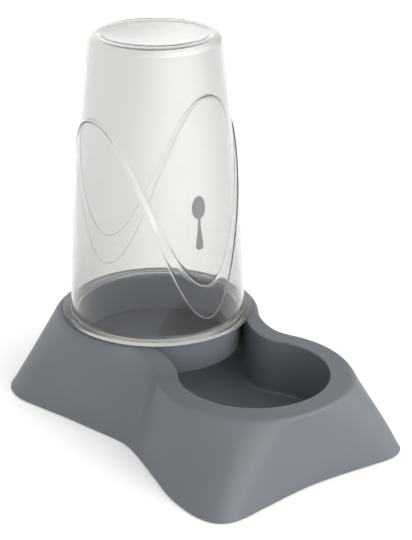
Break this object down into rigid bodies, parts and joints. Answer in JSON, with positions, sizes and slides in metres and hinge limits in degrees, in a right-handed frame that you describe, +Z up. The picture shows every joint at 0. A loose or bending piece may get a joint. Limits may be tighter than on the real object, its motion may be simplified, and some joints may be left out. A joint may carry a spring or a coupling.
{
  "type": "gravity pet feeder",
  "caption": "Gravity pet feeder: a clear upturned hopper stands on a flared grey base and feeds dry food through a collar and a sloping passage into a round bowl.",
  "frame": {"origin": "on the floor, at the middle of the outline in X and Y", "axes": "+Z up, the bowl towards -Y and the hopper towards +Y, mirror-symmetric about X = 0"},
  "size_m": [0.238, 0.3378, 0.3456],
  "materials": {
    "base_plastic": "fine satin moulded surface, blue-grey",
    "collar_plastic": "fine satin moulded surface, darker grey",
    "clear_plastic": "clear, glossy, moulded",
    "print_ink": "flat grey print",
    "foot_rubber": "matt soft rubber"
  },
  "bodies": {
    "root": {"base": "base_plastic", "hopper": "clear_plastic", "collar": "collar_plastic", "foot_rear_left": "foot_rubber", "foot_rear_right": "foot_rubber", "foot_front_left": "foot_rubber", "foot_front_right": "foot_rubber"}
  },
  "joints": []
}
